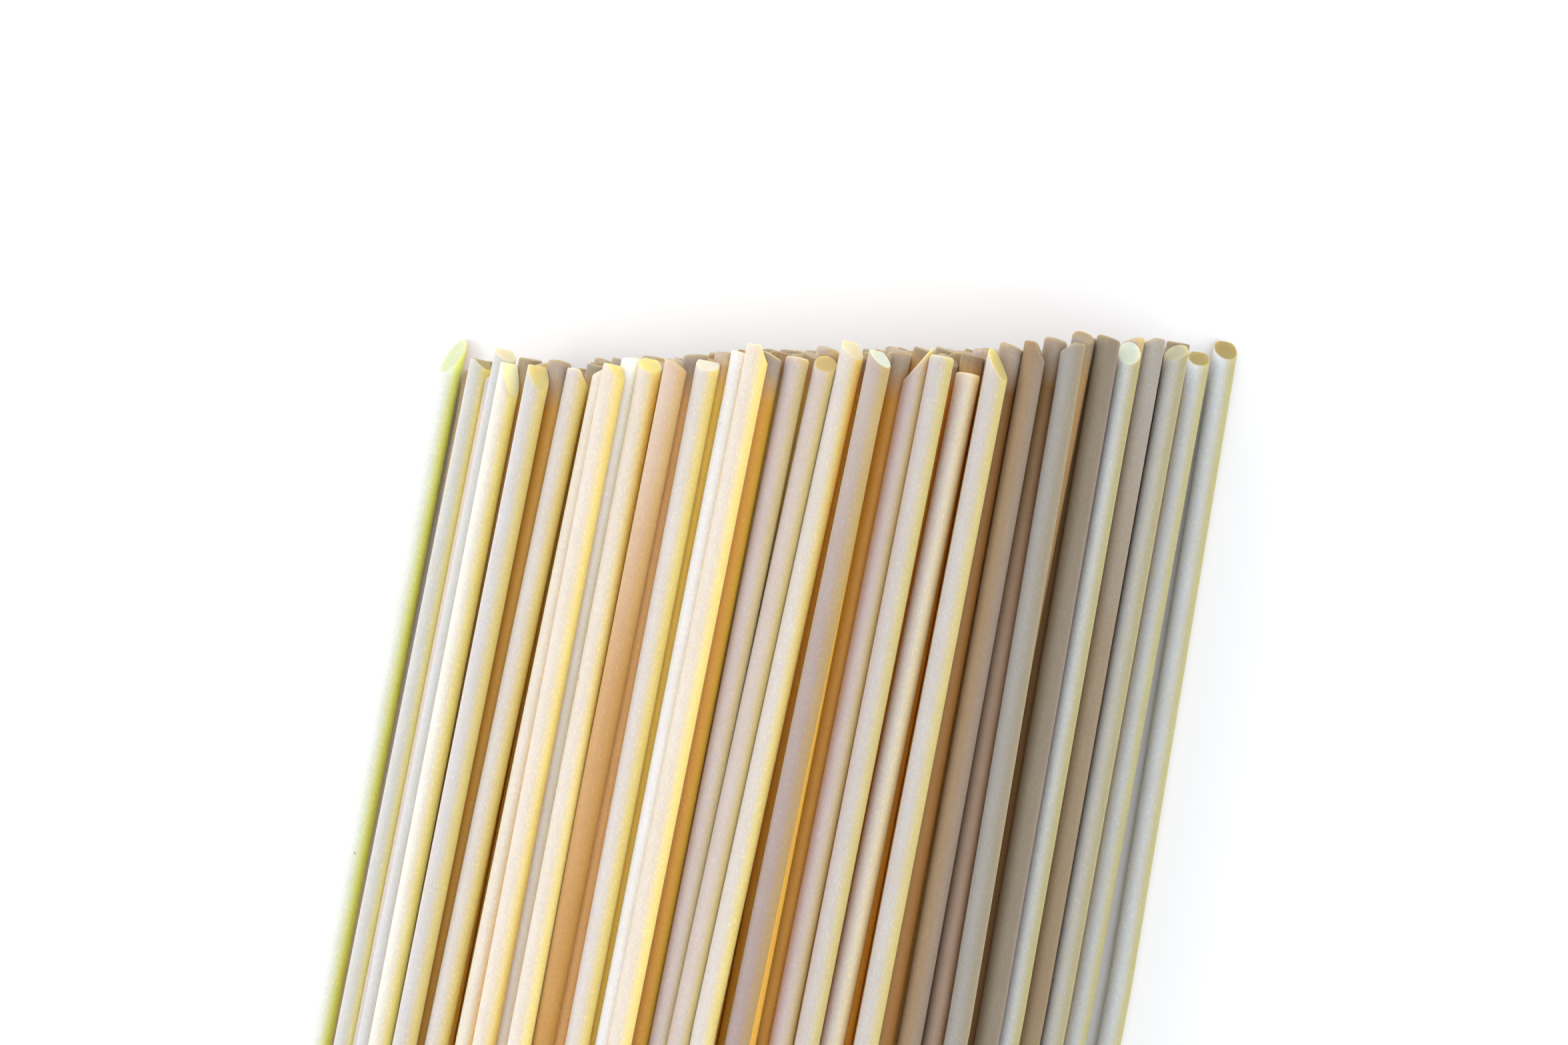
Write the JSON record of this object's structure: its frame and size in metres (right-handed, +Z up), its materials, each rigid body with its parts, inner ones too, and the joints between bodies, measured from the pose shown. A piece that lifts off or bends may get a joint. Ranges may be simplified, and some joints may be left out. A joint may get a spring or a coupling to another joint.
{
  "type": "bundle of dried spaghetti",
  "caption": "Loose bundle of long, straight dried pasta strands lying parallel in a heap, with uneven cut ends.",
  "frame": {"origin": "centre of the bundle on the surface it lies on", "axes": "+Z up, +Y along the strands towards the end that the picture shows, +X across the bundle"},
  "size_m": [0.0666, 0.2696, 0.0287],
  "materials": {
    "pasta": "floury, matte"
  },
  "bodies": {
    "root": {"spaghetti_bundle": "pasta"}
  },
  "joints": []
}
